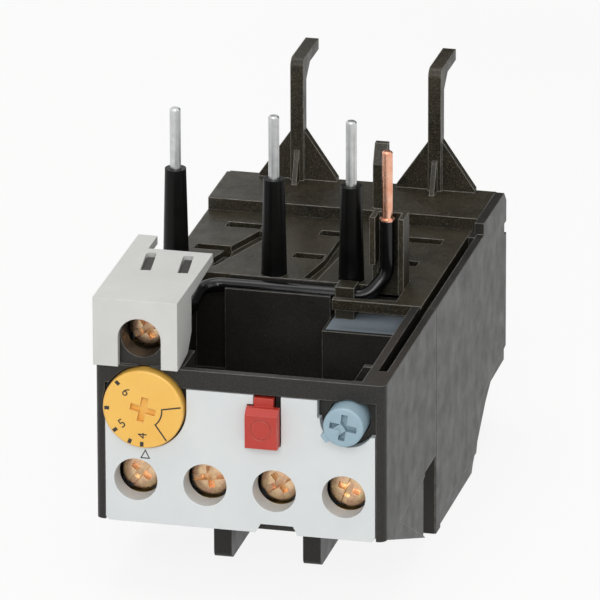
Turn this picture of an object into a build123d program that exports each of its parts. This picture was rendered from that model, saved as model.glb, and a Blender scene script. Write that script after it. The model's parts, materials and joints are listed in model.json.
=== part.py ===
from build123d import *
import os

# A plug-in three-pole thermal overload relay. All lengths are in millimetres.
# X runs to the right, Y runs back and Z runs up. The drawing datum is the middle
# of the front plate's lower edge; the origin of the files is set at the end.

# Front plate
plate_width = 41.8
plate_thick = 1.5
plate_height = 22.1
plate_round = 0.8
front_wall = 2.0
wall_back = plate_thick + front_wall

# Casing: the lip stands over the plate, and the top panels and the rear strip follow the lip
width = 45.0
depth = 83.5
parting_y = 34.4
lip_over = 3.1
lip_top = plate_height + lip_over
lip_face = 0.2
lip_thick = 1.2
panel_top = lip_top - 0.55
panel_thick = 2.2
bridge_top = lip_top + 1.4
bridge_deep = 12.7
bridge_front = depth - bridge_deep
rear_step = bridge_front - 3.2
wall_bottom = -11.9
wall_slope_end = 26.8
wall_slope = 0.358
side_wall = 1.5
skin = 1.3
seat_gap = 0.1
half = width / 2

# Recess behind the lip: each step ends at a depth and has its own floor
recess_left = -21.0
recess_right = 18.6
recess_steps = ((9.0, lip_top - 3.3), (17.0, lip_top - 6.6), (31.0, lip_top - 11.8),
                (parting_y, lip_top - 16.2))
tower_right = -9.0
tower_back = 8.5
rib_thick = 1.3
channel_width = 1.4
channel_floor = 10.0
channel_front = 6.4
post_skin = 0.8

# Auxiliary terminals behind the plate
aux_pitch = 10.762
aux_left = -16.207
aux_z = 6.9
aux_hole = 6.74
aux_recess = 3.4
aux_collar = 0.75
aux_head = 6.1
aux_head_high = 2.0
aux_shank = 3.5
aux_washer = 7.0
aux_washer_thick = 1.0
aux_blade_thick = 0.8
aux_pocket_half = 4.6
aux_pocket_back = 11.4
aux_pocket_top = aux_z + 4.3
aux_x = [aux_left + aux_pitch * k for k in range(4)]

# Terminal of the lead, under the white cover
link_x = -15.3
link_z = lip_top + 4.5
link_bore = 6.4
link_recess = 4.6
link_block_half = 3.9
link_block_top = link_z + 3.8
link_block_back = 15.5

# White terminal cover
cover_left = -22.5
cover_right = -9.4
cover_front = -0.86
cover_top = lip_top + 10.9
cover_back = 21.5
cover_side_back = 8.0
cover_tab_back = 27.1
cover_wall = 1.3
cover_slant = 3.2
cover_slot_x = (-17.6, -11.8)
cover_slot_front = 12.2
cover_slot_long = 7.8
cover_slot_width = 1.6
cover_slot_lean = 7.0
cover_latch_gap = 0.2
cover_latch_low = 0.5

# Main terminals
pole_pitch = 14.0
main_z = -6.2
main_head = 7.0
main_head_high = 2.0
main_shank = 4.0
main_front_wall = 3.5
main_pocket_half = 5.6
main_bar_behind = 11.0
main_bar_y = parting_y + main_bar_behind
main_pocket_back = main_bar_y + 9.1
main_bar_thick = 1.6
jaw_gap = 4.6
cage_wall = 1.6
cage_half = 4.7
cage_low = -10.2
cage_high = -2.2
barrier_front = 17.2
barrier_thick = 2.8
pole_x = [pole_pitch * (k - 1) for k in range(3)]

# Pole chambers
chamber_floor = 1.5
chamber_front = 44.6
chamber_back = depth - 2.5
partition = 1.6
bimetal_shift = -0.9
bimetal_thick = 0.9
bimetal_low = 2.8
bimetal_high = 6.6
bimetal_front = 35.9
bimetal_back = chamber_back - 4.0
heater_radius = 3.1
heater_wire = 0.9
heater_pitch = 2.2
heater_start = 50.0
heater_turns = int((bimetal_back - 9.0 - heater_start) / heater_pitch)

# Trip slides and what they move
slide_y = 36.4
slide_thick = 1.2
slide_travel = 1.5
slide_half = 18.6
upper_slide = (4.6, 6.9)
lower_slide = (2.1, 4.4)
lever_x = -15.0
lever_y = 27.0
lever_boss = 1.9
lever_pin_radius = 0.8
pin_fit = 0.05
carrier_y = 22.0
contact_radius = 1.2

# Setting dial
dial_x = -14.8
dial_z = plate_height - 3.4
dial_radius = 6.23
dial_face = -1.1
dial_thick = 2.2
dial_recess_gap = 0.32
shaft_radius = 1.7
cam_radius = 2.6
cam_throw = 0.8
cam_front = 4.3
cam_thick = 2.2

# Test button
test_x = 3.75
test_z = plate_height - 4.7
test_width = 5.0
test_height = 6.2
test_front = -2.0
test_cap = 1.9
test_stem_width = 3.0
test_stem_height = 4.0
test_travel = 1.5
test_gap = 0.15
test_stem_back = 5.0
test_rod = 1.1
test_rod_z = test_z - 1.4

# Reset knob
reset_x = 16.7
reset_z = plate_height - 2.8
reset_radius = 3.1
reset_front = -3.1
reset_back = 2.9
reset_bore_gap = 0.2
reset_well = 4.3
reset_stem = 1.3
reset_travel = 2.0
pointer_angle = 215.0

# Plug-in pins: tapered black sleeve and tinned tip
pin_place = ((-20.4, 42.0), (-5.7, 45.5), (6.5, 45.6))
pin_tip = [panel_top + reach for reach in (26.95, 25.65, 25.75)]
sleeve_top = [panel_top + reach for reach in (17.15, 15.45, 15.25)]
sleeve_low_radius = 2.05
sleeve_high_radius = 1.65
pin_radius = 0.85
pin_core = 0.6

# Insulated lead with a bare copper end
lead_radius = 1.1
lead_bends = (9.0, 7.0, 3.2, 3.2, 4.0)
lead_y = 41.75
lead_z = panel_top - 1.25
copper_x = 12.7
copper_y = 43.4
copper_radius = 0.82
copper_core = 0.6
insulation_top = panel_top + 10.85
copper_tip = insulation_top + 11.3
bare_seat = 2.0
ledge_front = 40.0
ledge_z = lead_z - lead_radius
ledge_rim = lead_z + 0.1
overhang_front = 36.0
overhang_thick = 1.7
pin_run_z = 12.4
pin_bend = 1.2
block_right = 4.5
block_left = -12.2
well_ledge = panel_top - 4.65

# Guide post round the upright lead
vent_half = 1.1
guide_half = 2.7
guide_back = 46.6
guide_wall = 0.9
guide_top = insulation_top + 0.5
clip_width = 3.0

# Hooks on the rear strip
hook_x = (-10.75, 11.4)
hook_stem = 2.1
hook_deep = 2.1
hook_top = bridge_top + 20.2
hook_arm = 8.3
hook_arm_thick = 1.8
hook_gusset_half = 6.3
hook_gusset_high = 8.2
hook_gusset_thick = 1.4
hook_keel = 2.2
hook_keel_thick = 0.8
hook_round = 1.4
tongue_x = 4.8
tongue_y = bridge_front + 2.2
tongue_width = 2.1
tongue_top = bridge_top + 10.4

# The origin lies under the middle of the whole part, on the plane it stands on
front_most = reset_front
back_most = depth + hook_arm
origin_y = (front_most + back_most) / 2


def block(x0, x1, y0, y1, z0, z1):
    middle = ((x0 + x1) / 2, (y0 + y1) / 2, (z0 + z1) / 2)
    return Pos(*middle) * Box(x1 - x0, y1 - y0, z1 - z0)


def rod_x(radius, y, z, x0, x1):
    return Pos((x0 + x1) / 2, y, z) * Rot(0, 90, 0) * Cylinder(radius, x1 - x0)


def rod_y(radius, x, z, y0, y1):
    return Pos(x, (y0 + y1) / 2, z) * Rot(-90, 0, 0) * Cylinder(radius, y1 - y0)


def rod_z(radius, x, y, z0, z1):
    return Pos(x, y, (z0 + z1) / 2) * Cylinder(radius, z1 - z0)


def taper_z(low_radius, high_radius, x, y, z0, z1):
    return Pos(x, y, (z0 + z1) / 2) * Cone(low_radius, high_radius, z1 - z0)


def prism_x(points, x0, x1):
    outline = make_face(Polyline(*points, close=True))
    return extrude(Plane.YZ.offset(x0) * outline, x1 - x0)


def prism_y(points, y0, y1):
    outline = make_face(Polyline(*points, close=True))
    return extrude(Plane.XZ.offset(-y1) * outline, y1 - y0)


def prism_z(points, z0, z1):
    outline = make_face(Polyline(*points, close=True))
    return extrude(Plane.XY.offset(z0) * outline, z1 - z0)


def round_tube(points, radii, radius):
    path = FilletPolyline(*points, radius=radii)
    start = Plane(origin=path @ 0, z_dir=path % 0)
    return sweep(start * Circle(radius), path=path)


def wall_drop(y):
    return -wall_slope * (y - lip_face)


# Screws

def combination_head(x, z, y0, head, high, turned):
    """A cylinder head with a slot and a cross, seen from the front."""
    body = rod_y(head / 2, x, z, y0, y0 + high)
    rim = body.faces().sort_by(Axis.Y)[0].edges()
    body = chamfer(rim, high * 0.15)
    slot = block(-head, head, y0, y0 + high * 0.55, -head * 0.08, head * 0.08)
    cross = block(-head * 0.3, head * 0.3, y0, y0 + high * 0.75, -head * 0.09, head * 0.09)
    cross += Rot(0, 90, 0) * cross
    cut = Pos(x, 0, z) * Rot(0, turned, 0) * (slot + cross)
    return body - cut


def terminal_screw(x, z, y0, head, high, shank, y1, turned):
    screw = combination_head(x, z, y0, head, high, turned)
    stem = rod_y(shank / 2, x, z, y0 + high, y1)
    stem = chamfer(stem.faces().sort_by(Axis.Y)[-1].edges(), shank * 0.12)
    return screw + stem


# Casing

def side_skirt(x0, x1):
    """The part of a front side wall that reaches below the plate."""
    low = wall_drop(wall_slope_end)
    points = ((lip_face + 1.2, 1.0), (lip_face + 1.2, 0.0), (wall_slope_end, low), (wall_slope_end, 1.0))
    return prism_x(points, x0, x1)


def front_housing():
    body = block(-half, half, lip_face, parting_y, 0, lip_top)
    front_edges = body.edges().filter_by(Axis.Z).group_by(Axis.Y)[0]
    body = fillet(front_edges, 1.2)
    pocket = plate_width / 2 + seat_gap
    body -= block(-pocket, pocket, 0, plate_thick, -1, plate_height + seat_gap)
    start = wall_back
    for stop, floor in recess_steps:
        body -= block(recess_left, recess_right, start, stop, floor, lip_top + 1)
        start = stop
    body -= block(tower_right, recess_right, lip_face + lip_thick, wall_back + 0.1,
                  plate_height + 1, lip_top + 1)
    body += tower()
    body -= dial_space()
    bore = reset_radius + reset_bore_gap
    body += rod_y(bore + post_skin, reset_x, reset_z, plate_thick, channel_front - 0.2)
    body -= channel(channel_front, parting_y)
    body -= mechanism_chamber()
    for x in aux_x:
        body -= aux_pocket(x)
    body -= rod_y(dial_radius + dial_recess_gap, dial_x, dial_z, 0, plate_thick)
    body -= rod_y(shaft_radius + pin_fit, dial_x, dial_z, 0, wall_back + 1)
    body -= test_passage()
    body -= rod_y(bore, reset_x, reset_z, 0, reset_back + reset_travel + 0.3)
    body -= reset_passage()
    for side in (-1, 1):
        outer = side * half
        inner = side * (half - side_wall)
        body += side_skirt(min(outer, inner), max(outer, inner))
        body -= block(min(outer, inner) - 0.1, max(outer, inner) + 0.1, wall_slope_end, parting_y, -1, 1.2)
    body += corner_gusset()
    facet = ((10.0, -0.2), (wall_slope_end + 1, 0.6), (wall_slope_end + 1, -12.0), (wall_slope_end, -9.4))
    body -= prism_x(facet, half - 0.25, half + 1) + prism_x(facet, -half - 1, -half + 0.25)
    body -= seam_groove(parting_y)
    return body


def tower():
    """Black block under and inside the white cover, with the lead's terminal bore."""
    base = block(recess_left - 0.1, tower_right, lip_face + 1.4, tower_back, plate_height + 1.0, lip_top)
    base += block(recess_left - 0.1, tower_right, wall_back - 0.1, tower_back, 11, lip_top)
    left = link_x - link_block_half
    right = link_x + link_block_half
    head = block(left, right, 0.7, link_block_back, lip_top - 0.05, link_block_top)
    head -= block(left - 1, right + 1, tower_back, link_block_back + 1, 20, 25.9)
    head += block(left, right, tower_back - 0.2, link_block_back, 25.0, 26.2)
    head -= rod_y(link_bore / 2, link_x, link_z, 0, link_recess + 3)
    head -= block(left + 0.7, right - 0.7, link_recess - 0.4, link_block_back + 1, 26.2, link_block_top - 0.7)
    shelf_back = cover_slot_front + cover_slot_long + 0.4
    head += block(left, right, link_block_back - 0.5, shelf_back, link_block_top - 0.7, link_block_top)
    for x in cover_slot_x:
        head += Pos(x, cover_slot_front, 0) * Rot(0, 0, cover_slot_lean) * cover_latch()
    return base + head


def cover_latch():
    """Nose that reaches up into one of the cover's slots and holds the cover."""
    side = cover_slot_width / 2 - cover_latch_gap
    return block(-side, side, cover_latch_gap, cover_slot_long - side - cover_latch_gap,
                 link_block_top - 0.4, cover_top - cover_latch_low)


def dial_space():
    """Room for the cam and its rocker inside the tower."""
    low = aux_pocket_top + skin
    return block(recess_left, tower_right - skin, wall_back, tower_back - skin, low, lip_top - skin)


def reset_passage():
    """Room for the reset plunger's stem, arm and tail."""
    stop = recess_steps[0][0] - post_skin
    side = reset_stem + 0.5
    ceiling = recess_steps[0][1] - post_skin
    space = block(reset_x - side, reset_x + side, wall_back + 1, stop, aux_pocket_top + skin - 0.4, ceiling)
    return space + block(reset_x - side, reset_x + side, stop - 0.1, recess_steps[1][0] - skin,
                         aux_pocket_top + skin - 0.4, recess_steps[1][1] - skin)


def channel(y0, y1):
    """Deep narrow channel between the right wall and the inner rib."""
    left = recess_right + rib_thick
    return block(left, left + channel_width, y0, y1, channel_floor, lip_top + 3)


def mechanism_chamber():
    """Hollow under the stepped floor, open towards the rear housing."""
    hollow = None
    start = aux_pocket_back + skin
    for stop, floor in recess_steps[1:]:
        step = block(recess_left, recess_right - 0.2, start, stop + 0.01, chamber_floor, floor - skin)
        hollow = step if hollow is None else hollow + step
        start = stop - skin
    hollow += block(recess_left, recess_right - 0.2, tower_back - skin + 0.8, aux_pocket_back + skin + 1,
                    aux_pocket_top + skin, recess_steps[1][1] - skin)
    hollow -= channel_guard()
    return hollow


def channel_guard():
    return block(recess_right + rib_thick - skin, half, 0, depth, channel_floor - skin, lip_top)


def aux_pocket(x):
    pocket = rod_y(aux_hole / 2 + 0.2, x, aux_z, 1, plate_thick + front_wall + 0.1)
    pocket += rod_y(aux_hole / 2 + aux_collar + seat_gap, x, aux_z, 1, aux_recess + seat_gap)
    pocket += block(x - aux_pocket_half, x + aux_pocket_half, wall_back, aux_pocket_back,
                    chamber_floor, aux_pocket_top)
    pocket += block(x - 3.4, x + 3.4, 5.6, 9.6, -1, chamber_floor + 1)
    pocket += block(x - 1.8, x + 1.8, wall_back + 3, aux_pocket_back + 2 * skin, 9.8, aux_pocket_top)
    pocket += rod_y(aux_shank / 2 + 0.4, x, aux_z, wall_back, aux_pocket_back + 2)
    return pocket


def test_passage():
    side = test_stem_width / 2 + seat_gap
    high = test_stem_height / 2 + seat_gap
    back = test_stem_back + test_travel + 0.5
    hole = block(test_x - side, test_x + side, 0, back, test_z - high, test_z + high)
    hole += block(test_x - side, test_x + side, 0, wall_back - 0.5, test_z, plate_height - 0.15)
    return hole + rod_y(test_rod + post_skin, test_x, test_rod_z, test_stem_back, 13.2)


def corner_gusset():
    edge = recess_right + 0.1
    points = ((13.0, 18.0), (edge, 18.0), (edge, lip_top - 0.2), (17.2, lip_top - 0.2))
    return prism_y(points, 8.2, 9.2)


def seam_groove(y):
    """Fine groove that marks a joint between two mouldings on the side walls."""
    cut = block(-half - 1, -half + 0.2, y - 0.15, y + 0.15, -20, 40)
    return cut + block(half - 0.2, half + 1, y - 0.15, y + 0.15, -20, 40)


def rear_outline():
    """Side view of the rear housing, as points in Y and Z."""
    heel = depth - 22.9
    return ((parting_y, wall_bottom), (heel, wall_bottom), (heel + 1.0, -10.6), (heel + 9.8, -3.6),
            (heel + 13.4, -1.6), (depth, -1.4), (depth, 20.0), (depth - 1.4, 20.0), (depth - 1.4, 21.9),
            (depth, 21.9), (depth, 25.4), (depth - 1.6, bridge_top + 0.5), (rear_step, bridge_top + 0.5),
            (rear_step, lip_top), (parting_y, lip_top))


def wall_band(x0, x1):
    """Shallow border along the lower edge of a side wall."""
    points = ((parting_y + 3, wall_bottom - 1), (depth + 1, wall_bottom - 1), (depth + 1, 1.2),
              (depth - 17.5, -1.4), (depth - 20.9, -9.2), (parting_y + 3, -9.2))
    return prism_x(points, x0, x1)


def rear_housing():
    body = prism_x(rear_outline(), -half, half)
    inner = half - side_wall
    body -= block(-inner, inner, bridge_front, depth + 1, panel_top - panel_thick, 40)
    body -= block(-half - 1, inner, bridge_front - 5, depth + 1, panel_top, 40)
    body -= block(-half - 1, recess_right + rib_thick, chamber_front - 1.3, bridge_front,
                  panel_top - panel_thick, 40)
    body -= block(-half - 1, inner, parting_y - 1, chamber_front, panel_top, 40)
    body -= channel(parting_y - 1, rear_step)
    body -= rear_recess()
    body -= lead_groove()
    body -= block(recess_right - 0.1, recess_right + rib_thick, overhang_front - seat_gap, chamber_front,
                  panel_top - overhang_thick - seat_gap, 40)
    for k in range(3):
        body -= pole_chamber(k)
        body -= main_pocket(pole_x[k])
    body -= slide_space()
    for x in (-pole_pitch / 2, pole_pitch / 2):
        body += barrier(x)
    body -= pin_holes()
    body -= block(recess_right + 0.1, recess_right + 1.1, parting_y + 1.0, parting_y + 2.2, lip_top - 1.4, 40)
    body -= wall_band(half - 0.3, half + 1) + wall_band(-half - 1, -half + 0.3)
    body -= seam_groove(parting_y)
    return body


def rear_recess():
    """Open space in front of the block face, and the ledge to its right."""
    floor = recess_steps[-1][1]
    cut = block(block_left, block_right, parting_y - 1, ledge_front, floor, 40)
    cut += block(recess_left + 3.4, block_left + 0.01, parting_y - 1, chamber_front - skin, floor, 40)
    cut += block(block_right - 0.01, recess_right, parting_y - 1, chamber_front - skin, well_ledge, 40)
    cut += block(block_right - 0.01, recess_right, parting_y - 1, parting_y, floor, 40)
    return cut


def lead_groove():
    """Ledge along the block's top edge on which the lead lies."""
    back = lead_y + lead_radius + 0.35
    cut = block(block_left - 6, block_right + 1, ledge_front + 0.5, back, ledge_z, 40)
    return cut + block(block_left, block_right + 1, ledge_front - 0.5, ledge_front + 0.6, ledge_rim, 40)


def chamber_sides(k):
    x = pole_x[k]
    left = x - pole_pitch / 2 + partition / 2
    right = x + pole_pitch / 2 - partition / 2
    if k == 0:
        left = recess_left
    if k == 2:
        right = recess_right - 0.7
    return left, right


def pole_chamber(k):
    left, right = chamber_sides(k)
    return block(left, right, chamber_front, chamber_back, chamber_floor, panel_top - panel_thick)


def slide_space():
    """Low hollow at the front of the rear housing where the two slides run."""
    top = recess_steps[-1][1] - skin
    low = block(-slide_half - slide_travel - 0.5, slide_half + slide_travel + 0.3, parting_y - 1,
                slide_y + slide_thick + 1.4, chamber_floor, top)
    for k in range(3):
        x = pole_x[k] + bimetal_shift
        low += block(x - 3.4, x + 3.4, slide_y, chamber_front + 1, chamber_floor, top)
    return low


def main_pocket(x):
    """Space for one screw clamp, open downwards for the conductor."""
    start = parting_y + main_front_wall
    pocket = block(x - main_pocket_half, x + main_pocket_half, start, main_pocket_back, wall_bottom - 1, -0.4)
    pocket += rod_y(main_head / 2 + 0.2, x, main_z, parting_y - 1, start - 1.0)
    pocket += rod_y(main_shank / 2 + pin_fit, x, main_z, parting_y, start + 1)
    pocket += block(x - 2.7, x + 2.7, main_bar_y, main_bar_y + main_bar_thick, -1, chamber_floor + 1)
    return pocket


def barrier(x):
    """Wall between two main terminals that reaches forward under the front block."""
    side = barrier_thick / 2
    points = ((barrier_front, wall_bottom), (parting_y + 0.1, wall_bottom), (parting_y + 0.1, -0.15),
              (barrier_front, -0.15))
    wall = prism_x(points, x - side, x + side)
    lower = wall.edges().filter_by(Axis.X).group_by(Axis.Z)[0].sort_by(Axis.Y)[0]
    return fillet(lower, 1.2)


def pin_holes():
    """Ways for the three pins down into their chambers."""
    room = pin_radius + 0.35
    foot = heater_start - heater_wire
    cut = []
    for k, (x, y) in enumerate(pin_place):
        target = pole_x[k] + bimetal_shift
        cut.append(rod_z(pin_radius + 0.2, x, y, 18.0, 40))
        cut.append(block(x - room, x + room, y - room, foot + room, pin_run_z - 1.5, panel_top - panel_thick))
        cut.append(block(min(x, target) - room, max(x, target) + room, foot - room, foot + room,
                         pin_run_z - 1.5, panel_top - panel_thick))
    return cut


def top_cover():
    top = panel_top
    low = panel_top - panel_thick
    right = recess_right + rib_thick - seat_gap
    cover = block(-half, right, chamber_front - 1.3 + seat_gap, bridge_front - seat_gap, low, top)
    cover += block(block_right + 1.2, right, overhang_front, chamber_front, top - overhang_thick, top)
    for x, y, length in vent_places():
        cover -= block(x, x + length, y - vent_half, y + vent_half, low - 1, top + 1)
    for points in groove_outlines():
        cover -= prism_z(points, top - 1.1, top + 1)
    for x, y in pin_place[1:]:
        cover -= rod_z(sleeve_low_radius + 0.02, x, y, low - 1, top + 1)
    return cover - guide_opening()


def vent_places():
    """Left end, depth and length of each vent slot."""
    y = bridge_front - 6.4
    rear = [(-18.0, y + 0.5, 5.6), (-2.9, y, 5.6), (10.8, y + 0.1, 5.7)]
    front = [(-20.4, 54.3, 5.6), (-4.6, 53.8, 4.8), (9.6, 54.2, 5.4)]
    return rear + front


def groove_outlines():
    """Sloping shallow grooves between the vents, in X and Y."""
    left = ((-15.5, 45.8), (-11.1, 58.4), (-10.7, 61.5), (-12.3, 63.2), (-14.9, 55.6), (-16.4, 49.8))
    middle = ((-0.8, 44.2), (1.5, 43.8), (2.3, 53.2), (2.9, 57.0), (3.1, 61.0), (0.7, 63.0), (0.6, 52.6))
    return left, middle


def guide_opening():
    """Opening through which the lead turns upwards, in front of its guide post."""
    side = guide_half + seat_gap
    cut = block(copper_x - side, copper_x + side, 40.0, guide_back + seat_gap, 20, 40)
    return cut + block(block_right + 0.4, copper_x + side, overhang_front + 1.2, chamber_front - 1.2, 20, 40)


def front_plate():
    side = plate_width / 2
    plate = block(-side, side, 0, plate_thick, 0, plate_height)
    plate = fillet(plate.edges().filter_by(Axis.Y), plate_round)
    for x in aux_x:
        plate += rod_y(aux_hole / 2 + aux_collar, x, aux_z, plate_thick / 2, aux_recess)
        plate -= rod_y(aux_hole / 2, x, aux_z, -1, aux_recess + 1)
    reach = dial_radius + dial_recess_gap
    plate -= rod_y(reach, dial_x, dial_z, -1, plate_thick + 1)
    plate -= block(-side - 1, dial_x + reach, -1, plate_thick + 1, dial_z, plate_height + 1)
    wide = test_width / 2 + test_gap
    high = test_height / 2 + test_gap
    plate -= block(test_x - wide, test_x + wide, -1, plate_thick + 1, test_z - high, test_z + high)
    plate -= block(test_x - wide + 1.0, test_x + wide, -1, plate_thick + 1, test_z, plate_height + 1)
    plate -= rod_y(reset_well, reset_x, reset_z, -1, plate_thick + 1)
    plate -= block(12.0, side + 1, -1, plate_thick + 1, reset_z, plate_height + 1)
    plate -= block(reset_x, side + 1, -1, plate_thick + 1, 16.8, plate_height + 1)
    notch = ((2.4, -1.0), (2.4, 0.0), (3.2, 1.4), (8.2, 1.4), (8.9, 0.0), (8.9, -1.0))
    plate -= prism_y(notch, -1, plate_thick + 1)
    return plate


def terminal_cover():
    """White cover: front with an arch, roof, left side and a short right side."""
    floor = lip_top + 0.05
    outer = block(cover_left, cover_right, cover_front, cover_back, floor, cover_top)
    under = cover_top - cover_wall
    outer += block(cover_left, cover_left + 3.0, cover_back - 0.1, cover_tab_back, under, cover_top)
    hollow = block(cover_left + cover_wall, cover_right - cover_wall, cover_front + cover_wall,
                   cover_back + 1, floor - 1, cover_top - cover_wall)
    outer -= hollow
    slant = ((cover_side_back, floor + cover_slant), (cover_side_back, cover_top - cover_wall - 0.8),
             (cover_back + 1, cover_top - cover_wall), (cover_back + 1, floor - 1),
             (1.4, floor - 1), (1.4, floor), (5.6, floor + 0.6))
    outer -= prism_x(slant, cover_right - cover_wall - 0.5, cover_right + 1)
    side = (link_bore + 0.3) / 2
    arch = rod_y(side, link_x, link_z + 0.1, cover_front - 1, cover_front + cover_wall + 0.5)
    arch += block(link_x - side, link_x + side, cover_front - 1, cover_front + cover_wall + 0.5,
                  floor - 1, link_z + 0.1)
    outer -= arch
    for x in cover_slot_x:
        outer -= Pos(x, cover_slot_front, 0) * Rot(0, 0, cover_slot_lean) * cover_slot()
    return outer


def cover_slot():
    """Slot with a flat front end and a round rear end."""
    side = cover_slot_width / 2
    straight = block(-side, side, 0, cover_slot_long - side, cover_top - cover_wall - 1, cover_top + 1)
    return straight + rod_z(side, 0, cover_slot_long - side, cover_top - cover_wall - 1, cover_top + 1)


def hook_bracket():
    """Rear strip with both hooks and the centre tongue."""
    inner = half - side_wall - seat_gap
    strip = block(-half, inner, bridge_front, depth, panel_top, bridge_top)
    strip += block(-inner, inner, bridge_front + seat_gap, depth, panel_top - panel_thick, panel_top)
    corner = block(-half - 1, -half + 0.45, depth - 0.45, depth + 1, panel_top - 3, bridge_top + 1)
    strip -= corner
    bevel = ((bridge_front - 1, bridge_top - 0.7), (bridge_front + 0.7, bridge_top + 1),
             (bridge_front - 1, bridge_top + 1))
    strip -= prism_x(bevel, -half - 1, half + 1)
    for x in hook_x:
        strip += hook(x)
    return strip + tongue()


def hook(x):
    back = depth
    front = depth - hook_deep
    side = hook_stem / 2
    stem = block(x - side, x + side, front, back, bridge_top - 0.2, hook_top)
    arm = block(x - side, x + side, front, back + hook_arm, hook_top - hook_arm_thick, hook_top)
    under = hook_top - hook_arm_thick
    corner = ((back - 0.1, under - 2.2), (back + 2.6, under + 0.1), (back - 0.1, under + 0.1))
    brace = prism_x(corner, x - side, x + side)
    bar = stem + arm + brace
    nose = bar.edges().filter_by(Axis.X).filter_by_position(Axis.Y, front - 0.01, front + 0.01)
    bar = fillet(nose.sort_by(Axis.Z)[-1], hook_round)
    gusset = prism_y(((x - hook_gusset_half, bridge_top - 0.2), (x + hook_gusset_half, bridge_top - 0.2),
                      (x + hook_gusset_half, bridge_top + 0.5), (x + side, bridge_top + hook_gusset_high),
                      (x - side, bridge_top + hook_gusset_high), (x - hook_gusset_half, bridge_top + 0.5)),
                     back - hook_gusset_thick, back)
    keel = prism_x(((front - hook_keel, bridge_top - 0.2), (front + 0.1, bridge_top - 0.2),
                    (front + 0.1, bridge_top + 5.4)), x - hook_keel_thick / 2, x + hook_keel_thick / 2)
    return bar + gusset + keel


def tongue():
    side = tongue_width / 2
    front = tongue_y - 1.2
    back = tongue_y + 1.2
    foot = bridge_top - 0.2
    points = ((front, foot), (back, foot), (back, tongue_top), (tongue_y + 0.2, tongue_top),
              (front, tongue_top - 3.2))
    return prism_x(points, tongue_x - side, tongue_x + side)


# Pins and the insulated lead

def contact_pin(k):
    x, y = pin_place[k]
    target = pole_x[k] + bimetal_shift
    rod = rod_z(pin_radius, x, y, sleeve_top[k], pin_tip[k])
    rod = chamfer(rod.faces().sort_by(Axis.Z)[-1].edges(), 0.25)
    rod += rod_z(pin_core, x, y, 17.0, sleeve_top[k] + 0.1)
    foot = heater_start - heater_wire
    low = (bimetal_low + bimetal_high) / 2 + heater_radius
    run = ((x, y, 17.0), (x, y, pin_run_z), (x, foot, pin_run_z), (target, foot, pin_run_z),
           (target, foot, low))
    return rod + round_tube(run, [pin_bend] * 3, pin_core)


def pin_sleeve(k):
    x, y = pin_place[k]
    low = panel_top - panel_thick if k else panel_top
    sleeve = taper_z(sleeve_low_radius, sleeve_high_radius, x, y, low, sleeve_top[k])
    return sleeve - rod_z(pin_core + pin_fit, x, y, low - 1, sleeve_top[k] + 1)


def lead_points():
    """Route of the insulated lead from its terminal to the upright end."""
    return ((link_x, 11.6, link_z - 1.9), (link_x - 0.4, 21.0, link_z - 1.9),
            (link_x - 0.7, lead_y - 8.5, lead_z - 1.2), (link_x - 0.8, lead_y, lead_z),
            (copper_x - 2.7, lead_y, lead_z),
            (copper_x, copper_y, lead_z + 3.4), (copper_x, copper_y, insulation_top))


def lead_insulation():
    tube = round_tube(lead_points(), lead_bends, lead_radius)
    return tube - rod_z(copper_core, copper_x, copper_y, insulation_top - bare_seat, insulation_top + 1)


def lead_conductor():
    rod = rod_z(copper_radius, copper_x, copper_y, insulation_top, copper_tip)
    rod = chamfer(rod.faces().sort_by(Axis.Z)[-1].edges(), 0.25)
    rod += rod_z(copper_core, copper_x, copper_y, insulation_top - bare_seat, insulation_top + 0.1)
    collar = rod_z(copper_radius + 0.35, copper_x, copper_y, insulation_top, insulation_top + 0.35)
    return rod + collar


def lead_guide():
    left = copper_x - guide_half
    right = copper_x + guide_half
    low = panel_top - 1.0
    post = block(left, right, copper_y - 0.6, guide_back, low, guide_top)
    inner = guide_back - guide_wall
    post -= block(left + guide_wall, right - guide_wall, copper_y - 2, inner, low - 1, guide_top + 1)
    post -= block(left - 1, right - guide_wall, copper_y - 2, copper_y + 1.5, low - 1, low + 4.6)
    foot = block(left, right, guide_back - guide_wall, guide_back, low - 1.2, low + 0.1)
    return post + foot


def lead_clip():
    left = block_right + 0.7
    right = left + clip_width
    hoop = block(left, right, lead_y - 1.6, chamber_front - skin, well_ledge, lead_z + 1.75)
    return hoop - rod_x(lead_radius + 0.05, lead_y, lead_z, left - 1, right + 1)


# Auxiliary terminals

def aux_screw(k):
    x = aux_x[k]
    tip = wall_back + aux_head_high + 7.4
    return terminal_screw(x, aux_z, aux_recess + 0.2, aux_head, aux_head_high, aux_shank, tip, 20 + 37 * k)


def washer_front():
    return aux_recess + 0.2 + aux_head_high


def aux_clamp(k):
    x = aux_x[k]
    front = washer_front() + 0.02
    side = aux_washer / 2
    back = front + aux_washer_thick
    low = aux_z - side
    washer = block(x - side, x + side, front, back, low, aux_z + side - 0.4)
    washer += block(x - side, x + side, front, back + 0.6, low, low + 0.7)
    return washer - rod_y(aux_shank / 2 + pin_fit, x, aux_z, front - 1, front + 3)


def blade_front():
    return washer_front() + aux_washer_thick + 0.75


def contact_reach(k):
    """Depth at which a fixed contact finger ends; the closed pair sits further back."""
    return carrier_y - 4.0 if k < 2 else carrier_y - 6.6


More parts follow.
